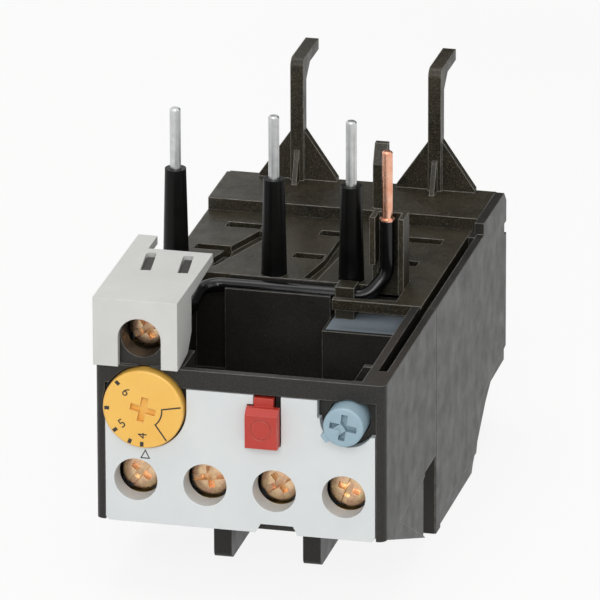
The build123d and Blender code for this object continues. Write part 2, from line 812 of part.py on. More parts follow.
def aux_blade(k):
    x = aux_x[k]
    front = blade_front()
    back = front + aux_blade_thick
    plate = block(x - 3.9, x + 3.9, front, back, 2.0, 10.9)
    plate += block(x - 2.2, x + 2.2, back - 0.1, back + 1.2, aux_z - 2.6, aux_z + 2.6)
    plate -= rod_y(aux_shank / 2 + pin_fit, x, aux_z, front - 1, back + 3)
    reach = contact_reach(k)
    plate += block(x - 1.5, x + 1.5, back - 0.1, reach, 10.1, 10.9)
    plate += block(x - 1.5, x + 1.5, reach - 0.8, reach, 5.6, 10.9)
    contact = contact_radius * 0.9
    if k < 2:
        plate += rod_y(contact, x, 7.0, reach - 1.3, reach - 0.7)
    else:
        plate += rod_y(contact, x, 7.0, reach - 0.1, reach + 0.5)
    return plate


# Terminal of the lead under the white cover

def link_screw():
    return terminal_screw(link_x, link_z, link_recess, 5.8, aux_head_high, aux_shank, link_recess + 6.6, 12)


def link_clamp():
    front = link_recess + aux_head_high + 0.02
    washer = block(link_x - 2.9, link_x + 2.9, front, front + aux_washer_thick, link_z - 2.7, link_z + 2.7)
    return washer - rod_y(aux_shank / 2 + pin_fit, link_x, link_z, front - 1, front + 3)


def link_plate():
    front = link_recess + aux_head_high + aux_washer_thick + 0.2
    low = link_z - 3.5
    plate = block(link_x - 3.1, link_x + 3.1, front, front + 1.2, low, link_z + 3.0)
    plate += block(link_x - 3.1, link_x + 3.1, front, 12.4, low, low + 0.5)
    return plate - rod_y(aux_shank / 2 + pin_fit, link_x, link_z, front - 1, front + 3)


# Main terminals

def main_screw(k):
    start = parting_y + 0.35
    tip = main_bar_y - 0.25
    return terminal_screw(pole_x[k], main_z, start, main_head, main_head_high, main_shank, tip, 28 * k)


def cage_front():
    return main_bar_y - main_bar_thick - cage_wall - 0.6


def main_clamp(k):
    """Cage that the screw draws forward, with a jaw behind the bar."""
    x = pole_x[k]
    back = main_bar_y + main_bar_thick + jaw_gap + cage_wall
    cage = block(x - cage_half, x + cage_half, cage_front(), back, cage_low, cage_high)
    cage -= block(x - cage_half + 1.1, x + cage_half - 1.1, cage_front() + cage_wall, back - cage_wall,
                  cage_low - 1, cage_high + 1)
    return cage - rod_y(main_shank / 2 + pin_fit, x, main_z, cage_front() - 1, cage_front() + 3)


def main_bar(k):
    x = pole_x[k]
    target = x + bimetal_shift
    bar = block(x - 2.5, x + 2.5, main_bar_y, main_bar_y + main_bar_thick, cage_low + 0.4, chamber_floor)
    left, right = chamber_sides(k)
    edge = min(target + 5.0, right - 0.25)
    bar += block(x - 2.5, edge, main_bar_y, main_bar_y + main_bar_thick, chamber_floor, chamber_floor + 0.75)
    bar += block(edge - 1.0, edge, main_bar_y, bimetal_back, chamber_floor, chamber_floor + 1.2)
    bar += block(target - 0.1, edge, bimetal_back - 2.4, bimetal_back, chamber_floor, bimetal_low)
    return bar


# Poles

def bimetal(k):
    x = pole_x[k] + bimetal_shift
    side = bimetal_thick / 2
    strip = block(x - side, x + side, bimetal_front, bimetal_back, bimetal_low, bimetal_high)
    wide = side + 0.8
    strip += block(x - wide, x + wide, bimetal_back - 3.0, chamber_back, bimetal_low, bimetal_high + 2)
    return strip


def heater(k):
    x = pole_x[k] + bimetal_shift
    z = (bimetal_low + bimetal_high) / 2
    length = heater_pitch * heater_turns
    coil = Helix(pitch=heater_pitch, height=length, radius=heater_radius - heater_wire / 2)
    start = Plane(origin=coil @ 0, z_dir=coil % 0)
    winding = sweep(start * Circle(heater_wire / 2), path=coil, is_frenet=True)
    return Pos(x, heater_start, z) * Rot(-90, 0, 0) * winding


# Trip mechanism

def slide_window(low, high, x):
    side = bimetal_thick / 2
    return block(x - side - slide_travel - 0.3, x + side + 0.3, slide_y - 1, slide_y + 3, low, high)


def upper_bar():
    """Comb with three gates for the strips and a peg for the lever."""
    low, high = upper_slide
    bar = block(-slide_half, slide_half - 1.0, slide_y, slide_y + slide_thick, low, high)
    for x in pole_x:
        bar -= slide_window(low - 1, high - 0.15, x + bimetal_shift)
    bar += block(-slide_half, slide_half - 1.0, slide_y, slide_y + slide_thick, high - 0.2, high + 0.6)
    return bar + block(lever_x + 2.2, lever_x + 3.4, slide_y - 0.9, slide_y + 0.1, low, high)


def lower_bar():
    low, high = lower_slide
    bar = block(-slide_half, slide_half - 1.0, slide_y, slide_y + slide_thick, low - 0.5, high)
    for x in pole_x:
        bar -= slide_window(bimetal_low - 0.2, high + 1, x + bimetal_shift)
    return bar


def compensator_lever():
    """Lever that the upper slide's peg turns about an upright pin."""
    boss = rod_z(lever_boss, lever_x, lever_y, 2.0, 9.4)
    arm = block(lever_x + 1.0, lever_x + 1.9, lever_y, slide_y - 0.35, 4.7, 6.8)
    tip = block(lever_x + 3.55, lever_x + 4.6, slide_y - 1.1, slide_y - 0.3, 4.7, 6.8)
    bridge = block(lever_x + 1.0, lever_x + 4.6, slide_y - 2.0, slide_y - 1.1, 4.7, 6.8)
    thumb = block(lever_x, lever_x + 8.0, lever_y - 2.1, lever_y + 0.5, 7.2, 9.2)
    whole = boss + arm + bridge + tip + thumb
    return whole - rod_z(lever_pin_radius + pin_fit, lever_x, lever_y, 1, 11)


def lever_pin():
    return rod_z(lever_pin_radius, lever_x, lever_y, chamber_floor, recess_steps[2][1] - skin)


def rocker_pin():
    top = dial_z + cam_throw - cam_radius - 0.15
    return rod_y(0.6, dial_x - 4.6, top - 1.4, wall_back, tower_back - skin)


def pivot_pins():
    """The steel pins of the compensation lever and of the adjusting rocker."""
    return lever_pin() + rocker_pin()


def contact_carrier():
    """Insulating bar that holds both moving contact bridges."""
    left = aux_x[0] - 2.6
    right = aux_x[3] + 1.2
    bar = block(left, right, carrier_y + 0.4, carrier_y + 2.4, 4.2, 9.0)
    for x in ((aux_x[0] + aux_x[1]) / 2, (aux_x[2] + aux_x[3]) / 2):
        bar += block(x - 1.5, x + 1.5, carrier_y - 6.8, carrier_y + 0.5, 2.2, 4.85)
    return bar


def contact_bridges():
    bars = []
    for first, y, toward in ((0, carrier_y - 6.55, 1), (2, carrier_y - 4.3, -1)):
        x0 = aux_x[first] - 1.6
        x1 = aux_x[first + 1] + 1.6
        bar = block(x0, x1, y, y + 0.7, 6.0, 8.0)
        middle = (x0 + x1) / 2
        bar += block(middle - 1.4, middle + 1.4, y, y + 0.7, 4.9, 6.1)
        for x in (aux_x[first], aux_x[first + 1]):
            low = y + 0.6 if toward > 0 else y - 0.5
            bar += rod_y(contact_radius, x, 7.0, low, low + 0.6)
        bars.append(bar)
    return bars[0] + bars[1]


def adjusting_dial():
    dial = rod_y(dial_radius, dial_x, dial_z, dial_face, dial_face + dial_thick)
    rim = dial.faces().sort_by(Axis.Y)[0].edges()
    dial = fillet(rim, 0.35)
    slot = block(-2.0, 2.0, dial_face - 1, dial_face + 0.9, -0.55, 0.55)
    cross = slot + Rot(0, 90, 0) * slot
    dial -= Pos(dial_x, 0, dial_z) * Rot(0, 12, 0) * cross
    return dial


def dial_shaft():
    shaft = rod_y(shaft_radius, dial_x, dial_z, dial_face + dial_thick, cam_front + 0.1)
    return shaft + rod_y(cam_radius, dial_x, dial_z + cam_throw, cam_front, cam_front + cam_thick)


def adjusting_lever():
    """Rocker that lies under the cam."""
    top = dial_z + cam_throw - cam_radius - 0.15
    pivot = dial_x - 4.6
    front = cam_front + 0.1
    arm = block(pivot, dial_x + 1.5, front, front + 1.8, top - 1.6, top)
    boss = rod_y(1.5, pivot, top - 1.4, front, front + 1.8)
    return arm + boss - rod_y(0.65, pivot, top - 1.4, front - 1, front + 3)


# Buttons

def test_button():
    side = test_width / 2
    high = test_height / 2
    cap = block(test_x - side, test_x + side, test_front, test_front + test_cap, test_z - high, test_z + high)
    top = cap.edges().filter_by(Axis.X).group_by(Axis.Z)[-1].sort_by(Axis.Y)[0]
    cap = chamfer(top, 0.9)
    mark = rod_y(1.75, test_x, test_z, test_front, test_front + 0.15)
    mark -= rod_y(1.4, test_x, test_z, test_front - 1, test_front + 1)
    cap -= mark
    w = test_stem_width / 2
    h = test_stem_height / 2
    back = test_front + test_cap
    stem = block(test_x - w, test_x + w, back - 0.1, test_stem_back, test_z - h, test_z + h)
    neck = block(test_x - w, test_x + w, back - 0.1, back + 1.2, test_z, plate_height - 0.3)
    return cap + stem + neck + rod_y(test_rod, test_x, test_rod_z, test_stem_back, 11.2)


def coil_spring(radius, wire, pitch, turns, x, y, z):
    coil = Helix(pitch=pitch, height=pitch * turns, radius=radius)
    start = Plane(origin=coil @ 0, z_dir=coil % 0)
    body = sweep(start * Circle(wire / 2), path=coil, is_frenet=True)
    return Pos(x, y, z) * Rot(-90, 0, 0) * body


def reset_plunger():
    back = recess_steps[0][0] - post_skin - reset_travel - 0.2
    stem = rod_y(reset_stem, reset_x, reset_z, reset_back - 3.0, back)
    arm = block(reset_x - 1.2, reset_x + 0.3, back - 0.9, back, 12.5, reset_z)
    tail = block(reset_x - 1.2, reset_x + 0.3, back - 0.9, 13.3, 12.5, 14.2)
    return stem + arm + tail


def reset_knob():
    knob = rod_y(reset_radius, reset_x, reset_z, reset_front, reset_back)
    knob = fillet(knob.faces().sort_by(Axis.Y)[0].edges(), 0.3)
    slot = block(-2.1, 2.1, reset_front - 1, reset_front + 1.3, -0.5, 0.5)
    knob -= Pos(reset_x, 0, reset_z) * Rot(0, 8, 0) * (slot + Rot(0, 90, 0) * slot)
    tip = reset_radius + 0.75
    tab = block(0, tip, reset_front + 0.3, reset_front + 1.9, -0.7, 0.7)
    knob += Pos(reset_x, 0, reset_z) * Rot(0, -pointer_angle, 0) * tab
    return knob - rod_y(reset_stem + pin_fit, reset_x, reset_z, reset_back - 3.05, reset_back + 1)


def test_spring():
    return coil_spring(test_rod + 0.35, 0.35, 1.0, 4, test_x, test_stem_back + 0.35, test_rod_z)


def reset_spring():
    return coil_spring(reset_stem + 0.27, 0.35, 0.55, 2, reset_x, reset_back + 0.3, reset_z)


# Files

def all_nodes():
    nodes = {
        "front_housing": front_housing(),
        "rear_housing": rear_housing(),
        "top_cover": top_cover(),
        "hook_bracket": hook_bracket(),
        "front_plate": front_plate(),
        "terminal_cover": terminal_cover(),
        "lead_insulation": lead_insulation(),
        "lead_conductor": lead_conductor(),
        "lead_guide": lead_guide(),
        "lead_clip": lead_clip(),
        "link_screw": link_screw(),
        "link_clamp": link_clamp(),
        "link_plate": link_plate(),
        "trip_slide": upper_bar(),
        "differential_slide": lower_bar(),
        "compensator_lever": compensator_lever(),
        "pivot_pins": pivot_pins(),
        "contact_carrier": contact_carrier(),
        "contact_bridges": contact_bridges(),
        "adjusting_dial": adjusting_dial(),
        "dial_shaft": dial_shaft(),
        "adjusting_lever": adjusting_lever(),
        "test_button": test_button(),
        "test_spring": test_spring(),
        "reset_knob": reset_knob(),
        "reset_plunger": reset_plunger(),
        "reset_spring": reset_spring(),
    }
    for k in range(4):
        nodes[f"aux_screw_{k + 1}"] = aux_screw(k)
        nodes[f"aux_clamp_{k + 1}"] = aux_clamp(k)
        nodes[f"aux_blade_{k + 1}"] = aux_blade(k)
    for k in range(3):
        nodes[f"contact_pin_{k + 1}"] = contact_pin(k)
        nodes[f"pin_sleeve_{k + 1}"] = pin_sleeve(k)
        nodes[f"main_screw_{k + 1}"] = main_screw(k)
        nodes[f"main_clamp_{k + 1}"] = main_clamp(k)
        nodes[f"main_bar_{k + 1}"] = main_bar(k)
        nodes[f"bimetal_{k + 1}"] = bimetal(k)
        nodes[f"heater_{k + 1}"] = heater(k)
    return nodes


os.makedirs("parts", exist_ok=True)
for name, shape in all_nodes().items():
    export_step(Pos(0, -origin_y, -wall_bottom) * shape, f"parts/{name}.step")
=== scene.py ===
# %% [markdown]
# # A plug-in overload relay on a pale table
#
# The relay is a small black moulded block with three bright pins, a pale front plate and three coloured
# controls. Its exact solids come from the CAD model. This script gives them their surfaces, rebuilds the
# screws and springs with Geometry Nodes, prints the dial, and sets up the table, lamps and camera.

import json
import math

import bpy
from mathutils import Matrix, Vector


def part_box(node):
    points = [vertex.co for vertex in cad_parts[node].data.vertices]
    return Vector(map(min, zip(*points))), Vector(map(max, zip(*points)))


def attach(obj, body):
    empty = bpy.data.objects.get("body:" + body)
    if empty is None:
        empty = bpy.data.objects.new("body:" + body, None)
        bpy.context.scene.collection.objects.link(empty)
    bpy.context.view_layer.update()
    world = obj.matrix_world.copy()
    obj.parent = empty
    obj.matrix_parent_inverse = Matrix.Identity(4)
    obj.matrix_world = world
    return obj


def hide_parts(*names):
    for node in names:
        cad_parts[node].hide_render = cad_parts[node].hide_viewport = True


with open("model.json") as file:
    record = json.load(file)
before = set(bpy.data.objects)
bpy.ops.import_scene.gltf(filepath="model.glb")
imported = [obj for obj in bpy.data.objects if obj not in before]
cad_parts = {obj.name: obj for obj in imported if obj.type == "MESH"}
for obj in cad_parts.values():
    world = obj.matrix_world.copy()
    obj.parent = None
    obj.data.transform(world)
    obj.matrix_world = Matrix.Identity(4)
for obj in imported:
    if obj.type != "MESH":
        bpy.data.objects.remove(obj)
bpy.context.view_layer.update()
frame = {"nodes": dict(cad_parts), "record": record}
nodes = frame["nodes"]
mm = 0.001
scene = bpy.context.scene

# %% [markdown]
# ## Small helpers
#
# Every shader and geometry tree below is a list of nodes joined by links. One helper adds a node, sets its
# properties and fills its sockets, either with a plain value or with the output of an earlier node. A
# second helper turns the hex values that a designer reads off a screen into the linear values of a shader.

# %% Add a node, and turn a hex colour to linear
def add_node(tree, kind, sockets=None, **settings):
    """Adds a node; sockets maps an input's name or index to a value or to another node's output."""
    node = tree.nodes.new(kind)
    for setting, value in settings.items():
        setattr(node, setting, value)
    for socket, value in (sockets or {}).items():
        if isinstance(value, bpy.types.NodeSocket):
            tree.links.new(value, node.inputs[socket])
        else:
            node.inputs[socket].default_value = value
    return node


def linear(hex_colour):
    """A hex colour such as "#1f1f1c" as linear red, green, blue and alpha."""
    parts = [int(hex_colour[i:i + 2], 16) / 255 for i in (1, 3, 5)]
    return [p / 12.92 if p <= 0.04045 else ((p + 0.055) / 1.055) ** 2.4 for p in parts] + [1.0]


# %% [markdown]
# ## The camera
#
# The photograph was taken from far away with a long lens, a little to the right and from above. The
# camera's place was worked out from the straight edges of the plate and of the side wall, so the picture's
# perspective matches. The numbers are the direction from which it looks, its distance and its roll.

# %% Place the camera
azimuth = math.radians(13.615)
elevation = math.radians(20.601)
roll = math.radians(-0.145)
distance = 1675.98 * mm
plate_low, plate_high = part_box("front_plate")
aim = Vector(((plate_low.x + plate_high.x) / 2, plate_low.y + 35 * mm, plate_low.z + 15 * mm))
aim_right = 0.895 * mm
aim_up = 8.825 * mm

backward = Vector((math.sin(azimuth) * math.cos(elevation), -math.cos(azimuth) * math.cos(elevation),
                   math.sin(elevation)))
level = Vector((math.cos(azimuth), math.sin(azimuth), 0))
upward = backward.cross(level)
right = level * math.cos(roll) + upward * math.sin(roll)
up = upward * math.cos(roll) - level * math.sin(roll)

lens = bpy.data.cameras.new("long_lens")
lens.sensor_width = 36.0
lens.lens = 655.2
camera = bpy.data.objects.new("camera", lens)
scene.collection.objects.link(camera)
camera.matrix_world = Matrix.Translation(aim + level * aim_right + upward * aim_up + backward * distance) @ \
    Matrix((right, up, backward)).transposed().to_4x4()
scene.camera = camera
scene.view_settings.view_transform = "Standard"
print("camera at", [round(v, 3) for v in camera.location])

# %% [markdown]
# ## Floor and light
#
# Black plastic shows its shape by what it reflects, so the light comes from three large soft panels: a strong
# one in front and above, a weak one on the right and a middling one overhead. The sky brightens upwards, so
# upright faces stay darker than tops. Behind the relay stands a dark card that the camera looks through:
# without it every black top would mirror the pale background and turn grey. Floor and background are white only
# for the camera, which keeps them from lighting the relay.

# %% Set up the floor
def sheet_mesh(name, corners):
    """One flat face through the corners."""
    mesh = bpy.data.meshes.new(name)
    mesh.from_pydata(corners, [], [list(range(len(corners)))])
    sheet = bpy.data.objects.new(name, mesh)
    scene.collection.objects.link(sheet)
    return sheet


def seen_directly(tree):
    """1 for camera, mirror and clear rays, which see the floor and world as white, and 0 for the rest."""
    path = add_node(tree, "ShaderNodeLightPath")
    bounced = add_node(tree, "ShaderNodeMath", {0: path.outputs["Is Glossy Ray"],
                                                1: path.outputs["Is Transmission Ray"]}, operation="MAXIMUM")
    seen = add_node(tree, "ShaderNodeMath", {0: path.outputs["Is Camera Ray"], 1: bounced.outputs[0]},
                    operation="MAXIMUM")
    return seen.outputs[0]


floor_reach = 4.0
floor = sheet_mesh("floor", [(-floor_reach, -floor_reach, 0), (floor_reach, -floor_reach, 0),
                             (floor_reach, floor_reach, 0), (-floor_reach, floor_reach, 0)])
floor_paint = bpy.data.materials.new("matt_white_paint")
floor_paint.use_nodes = True
floor_tree = floor_paint.node_tree
floor_shader = floor_tree.nodes["Principled BSDF"]
floor_shader.inputs["Base Color"].default_value = linear("#e6e6e4")
floor_shader.inputs["Roughness"].default_value = 0.9
floor_glow = add_node(floor_tree, "ShaderNodeEmission", {"Color": linear("#ffffff"), "Strength": 1.0})
glow_share = 0.88
floor_share = add_node(floor_tree, "ShaderNodeMath", {0: seen_directly(floor_tree), 1: glow_share},
                       operation="MULTIPLY")
floor_mix = add_node(floor_tree, "ShaderNodeMixShader", {0: floor_share.outputs[0],
                                                         1: floor_shader.outputs[0],
                                                         2: floor_glow.outputs[0]})
floor_tree.links.new(floor_mix.outputs[0], floor_tree.nodes["Material Output"].inputs["Surface"])
floor.data.materials.append(floor_paint)
print("the floor is", 2 * floor_reach, "m wide and keeps", round(1 - glow_share, 2), "of its shadows")

# %% [markdown]
# ## The dark card
#
# A photographer who shoots black plastic on white hangs a dark card where the plastic would mirror the white
# wall. Here it stands behind the relay, because the camera looks down on the tops from the front. Its felt
# turns clear for rays that come straight from the camera, so it never hides the relay or the background.

# %% Stand a dark card behind
def dark_card(name, corners):
    """A charcoal card, clear to the camera, that keeps the white studio out of the black plastic's sheen."""
    card = sheet_mesh(name, corners)
    felt = bpy.data.materials.new(name + "_felt")
    felt.use_nodes = True
    tree = felt.node_tree
    shader = tree.nodes["Principled BSDF"]
    shader.inputs["Base Color"].default_value = linear("#2c2c2c")
    shader.inputs["Roughness"].default_value = 0.95
    ray = add_node(tree, "ShaderNodeLightPath")
    clear = add_node(tree, "ShaderNodeBsdfTransparent")
    surface = add_node(tree, "ShaderNodeMixShader", {0: ray.outputs["Is Camera Ray"], 1: shader.outputs[0],
                                                     2: clear.outputs[0]})
    tree.links.new(surface.outputs[0], tree.nodes["Material Output"].inputs["Surface"])
    card.data.materials.append(felt)


card_away = 0.25
card_left, card_right = -0.068, 0.3
card_foot, card_top = 0.02, 0.3
dark_card("back_card", [(card_left, card_away, card_foot), (card_right, card_away, card_foot),
                        (card_right, card_away, card_top), (card_left, card_away, card_top)])
print("a card of", round(card_right - card_left, 3), "by", round(card_top - card_foot, 3), "m stands",
      card_away, "m behind")

# %% Light the studio
studio = bpy.data.worlds.new("soft_studio")
scene.world = studio
studio.use_nodes = True
sky = studio.node_tree
sky.nodes.clear()
sky_at_horizon, sky_overhead = 0.3, 0.6
direction = add_node(sky, "ShaderNodeTexCoord")
apart = add_node(sky, "ShaderNodeSeparateXYZ", {0: direction.outputs["Generated"]})
higher = add_node(sky, "ShaderNodeMapRange", {"Value": apart.outputs["Z"], "From Min": 0.0, "From Max": 0.9,
                                              "To Min": sky_at_horizon, "To Max": sky_overhead})
around = add_node(sky, "ShaderNodeBackground", {"Color": linear("#ffffff"), "Strength": higher.outputs[0]})
white = add_node(sky, "ShaderNodeBackground", {"Color": linear("#ffffff"), "Strength": 1.0})
both = add_node(sky, "ShaderNodeMixShader", {0: seen_directly(sky), 1: around.outputs[0],
                                             2: white.outputs[0]})
add_node(sky, "ShaderNodeOutputWorld", {"Surface": both.outputs[0]})


def soft_panel(name, place, target, size, power):
    """A square lamp panel at place that looks at target."""
    lamp = bpy.data.lights.new(name, "AREA")
    lamp.shape = "SQUARE"
    lamp.size = size
    lamp.energy = power
    panel = bpy.data.objects.new(name, lamp)
    scene.collection.objects.link(panel)
    panel.location = place
    panel.rotation_euler = (Vector(target) - Vector(place)).to_track_quat("-Z", "Y").to_euler()
    return panel


middle = (0, 0, 0.03)
panel_size = 0.7
panels = [soft_panel(name, place, middle, panel_size, power) for name, place, power in (
    ("key_panel", (0.1, -1.15, 0.62), 7.4),
    ("side_panel", (1.0, -0.3, 0.55), 0.9),
    ("top_panel", (-0.1, 0.05, 1.15), 3.6))]
print(len(panels), "soft panels and a sky that goes from", sky_at_horizon, "to", sky_overhead)

# %% [markdown]
# ## How the surfaces are built
#
# Moulded plastic is never one flat colour: it has a fine grain from the sparked mould, slow changes in
# shade, and edges that catch the light, which are painted here as a lighter edge colour. One function builds
# that. The grain is a bump pattern whose size is given in millimetres. The edges are found by comparing the
# true surface with a rounded copy of it.
# Glass-filled plastic also shows a speckled sheen where fibres lie just under the skin; it is painted here as
# light flecks in the colour.
#
# All patterns use object coordinates. Every piece stands at the origin, so those are the same millimetres
# as the drawing's, and a painted reflection, a patch of another colour, can be placed by its distances from
# the front plate.

# %% Build a surface's common layers
def new_material(name):
    material = bpy.data.materials.new(name)
    material.use_nodes = True
    return material, material.node_tree, material.node_tree.nodes["Principled BSDF"]


def edge_mask(tree, radius_mm):
    """0 on flat ground and 1 at sharp edges, with the rounded normal that goes with it."""
    rounded = add_node(tree, "ShaderNodeBevel", {"Radius": radius_mm * mm}, samples=6)
    plain = add_node(tree, "ShaderNodeNewGeometry")
    alike = add_node(tree, "ShaderNodeVectorMath", {0: rounded.outputs[0], 1: plain.outputs["Normal"]},
                     operation="DOT_PRODUCT")
    mask = add_node(tree, "ShaderNodeMapRange", {"Value": alike.outputs["Value"], "From Min": 0.995,
                                                 "From Max": 0.80})
    return mask.outputs[0], rounded.outputs[0]


def noise(tree, size_mm, detail=3.0, roughness=0.5, stretch=(1, 1, 1)):
    """Cloudy pattern on object coordinates whose lumps are about size_mm across."""
    coordinates = add_node(tree, "ShaderNodeTexCoord")
    scaled = add_node(tree, "ShaderNodeMapping", {"Vector": coordinates.outputs["Object"], "Scale": stretch})
    pattern = add_node(tree, "ShaderNodeTexNoise", {"Vector": scaled.outputs[0], "Scale": 1 / (size_mm * mm),
                                                    "Detail": detail, "Roughness": roughness})
    return pattern.outputs["Fac"]


def blend_colours(tree, share, first, second):
    """first where share is 0 and second where it is 1; each is a hex colour or a socket."""
    mix = add_node(tree, "ShaderNodeMix", {0: share}, data_type="RGBA")
    for index, colour in ((6, first), (7, second)):
        if isinstance(colour, str):
            mix.inputs[index].default_value = linear(colour)
        else:
            tree.links.new(colour, mix.inputs[index])
    return mix.outputs[2]


def spread(tree, value, low, high):
    """A pattern's middle range stretched to low ... high."""
    return add_node(tree, "ShaderNodeMapRange", {"Value": value, "From Min": 0.3, "From Max": 0.7,
                                                 "To Min": low, "To Max": high}).outputs[0]


def moulded(name, base, cloudy, edge, rough, grain_mm, grain_deep, edge_mm=0.16, ior=1.5, sheen=0.5,
            painted_sheen_fleck=None):
    """Moulded plastic: grain, slow clouds of a second shade, a painted highlight on the edges and, if named,
    painted sheen flecks.
    """
    material, tree, shader = new_material(name)
    clouds = spread(tree, noise(tree, 9.0, 4.0), 0.0, 1.0)
    body = blend_colours(tree, clouds, base, cloudy)
    if painted_sheen_fleck:
        # Light flecks painted into the colour stand in for the speckled sheen
        sparse = add_node(tree, "ShaderNodeMapRange", {"Value": noise(tree, 0.2, 3.0, 0.6), "From Min": 0.5,
                                                       "From Max": 0.72})
        body = blend_colours(tree, sparse.outputs[0], body, painted_sheen_fleck)
    mask, rounded = edge_mask(tree, edge_mm)
    patchy_edge_highlight = add_node(tree, "ShaderNodeMath", {0: mask, 1: spread(tree, noise(tree, 1.4), 0.35, 1.0)},
                      operation="MULTIPLY")
    # The edge colour is a painted highlight, laid on the edges in patches
    colour = blend_colours(tree, patchy_edge_highlight.outputs[0], body, edge)
    tree.links.new(colour, shader.inputs["Base Color"])
    tree.links.new(spread(tree, noise(tree, 3.0, 5.0), rough[0], rough[1]), shader.inputs["Roughness"])
    bump = add_node(tree, "ShaderNodeBump", {"Strength": grain_deep, "Distance": 0.05 * mm,
                                             "Height": noise(tree, grain_mm, 2.0), "Normal": rounded})
    tree.links.new(bump.outputs[0], shader.inputs["Normal"])
    shader.inputs["IOR"].default_value = ior
    shader.inputs["Specular IOR Level"].default_value = sheen
    return material


def painted_reflection_patch(material, low_mm, high_mm, colour):
    """A painted reflection: another colour inside a box given in mm from the middle of the plate's lower front
    edge.
    """
    tree = material.node_tree
    target = tree.nodes["Principled BSDF"].inputs["Base Color"]
    corners = [Vector((0, plate_low.y, plate_low.z)) + Vector(corner) * mm for corner in (low_mm, high_mm)]
    place = add_node(tree, "ShaderNodeTexCoord")
    away = add_node(tree, "ShaderNodeVectorMath", {0: place.outputs["Object"],
                                                   1: (corners[0] + corners[1]) / 2}, operation="SUBTRACT")
    scaled = add_node(tree, "ShaderNodeVectorMath", {0: away.outputs[0], 1: (corners[1] - corners[0]) / 2},
                      operation="DIVIDE")
    even = add_node(tree, "ShaderNodeVectorMath", {0: scaled.outputs[0]}, operation="ABSOLUTE")
    parts = add_node(tree, "ShaderNodeSeparateXYZ", {0: even.outputs[0]})
    widest = add_node(tree, "ShaderNodeMath", {0: parts.outputs[0], 1: parts.outputs[1]}, operation="MAXIMUM")
    widest = add_node(tree, "ShaderNodeMath", {0: widest.outputs[0], 1: parts.outputs[2]},
                      operation="MAXIMUM")
    inside = add_node(tree, "ShaderNodeMath", {0: widest.outputs[0], 1: 1.0}, operation="LESS_THAN")
    before = target.links[0].from_socket
    tree.links.new(blend_colours(tree, inside.outputs[0], before, colour), target)


def metal(name, base, second, patch_mm, rough, stretch=(1, 1, 1), lines_mm=0.12, lines_deep=0.25,
          edge_mm=0.1):
    """Bare or plated metal: patches of a second tone, and fine drawn or turned lines."""
    material, tree, shader = new_material(name)
    patches = spread(tree, noise(tree, patch_mm, 4.0, 0.6), 0.0, 1.0)
    tree.links.new(blend_colours(tree, patches, base, second), shader.inputs["Base Color"])
    shader.inputs["Metallic"].default_value = 1.0
    tree.links.new(spread(tree, noise(tree, patch_mm * 0.4, 3.0), rough[0], rough[1]),
                   shader.inputs["Roughness"])
    rounded = edge_mask(tree, edge_mm)[1]
    bump = add_node(tree, "ShaderNodeBump", {"Strength": lines_deep, "Distance": 0.03 * mm,
                                             "Height": noise(tree, lines_mm, 2.0, 0.5, stretch),
                                             "Normal": rounded})
    tree.links.new(bump.outputs[0], shader.inputs["Normal"])
    return material


# %% [markdown]
# ## The plastics
#
# The housing is glass-filled polyamide, which leaves the mould black with a satin skin: it reflects a wide
# soft sheen at shallow angles. The plate, cover and controls are polycarbonate, smoother and a little
# more glossy. The cable's PVC sheath is the glossiest. The hidden levers are natural, undyed polyamide.

# %% Mix the plastics
surfaces = {}

# Satin black with a fine grain, painted sheen flecks and a painted highlight on the arrises: the side walls
# read as warm grey, the recess as black
surfaces["black_housing"] = moulded(
    "moulded_black_polyamide", "#1d1c1a", "#23211e", edge="#8f8c85", rough=(0.36, 0.48), grain_mm=0.28,
    grain_deep=0.3, edge_mm=0.25, sheen=0.34, painted_sheen_fleck="#35332e")

# Painted reflection: the ledge at the right rear of the recess gets a blue-grey colour in place of the sky's
# mirror image
ledge_low, ledge_high = (4.9, 35.2, 19.9), (17.4, 43.0, 20.1)
painted_reflection_patch(surfaces["black_housing"], ledge_low, ledge_high, "#78828a")

# The same plastic on the cover, painted browner, cloudier and more flecked than the housing: painted sheen that
# stands in for the mottled gloss on the flat tops, with a brighter painted highlight on the edges
surfaces["black_cover"] = moulded(
    "moulded_black_polyamide_cover", "#1a1711", "#2e291d", edge="#b0aca2", rough=(0.34, 0.48),
    grain_mm=0.3, grain_deep=0.4, edge_mm=0.25, sheen=0.32, painted_sheen_fleck="#5a5445")

# Deep black sleeves with a narrow, soft highlight down each side and a faint painted highlight on the rims
surfaces["black_sleeve"] = moulded(
    "moulded_black_polypropylene", "#080808", "#0d0d0c", edge="#45453f", rough=(0.28, 0.42), grain_mm=0.25,
    grain_deep=0.3, edge_mm=0.1, sheen=0.14)

# The cable's sheath is smooth and wet-looking: one sharp bright line follows each bend, and its edges get a
# faint painted highlight
surfaces["lead_sheath"] = moulded(
    "extruded_black_pvc", "#0a0a0b", "#0e0e0e", edge="#2a2a2a", rough=(0.14, 0.24), grain_mm=0.8,
    grain_deep=0.1, edge_mm=0.05, ior=1.52, sheen=0.35)

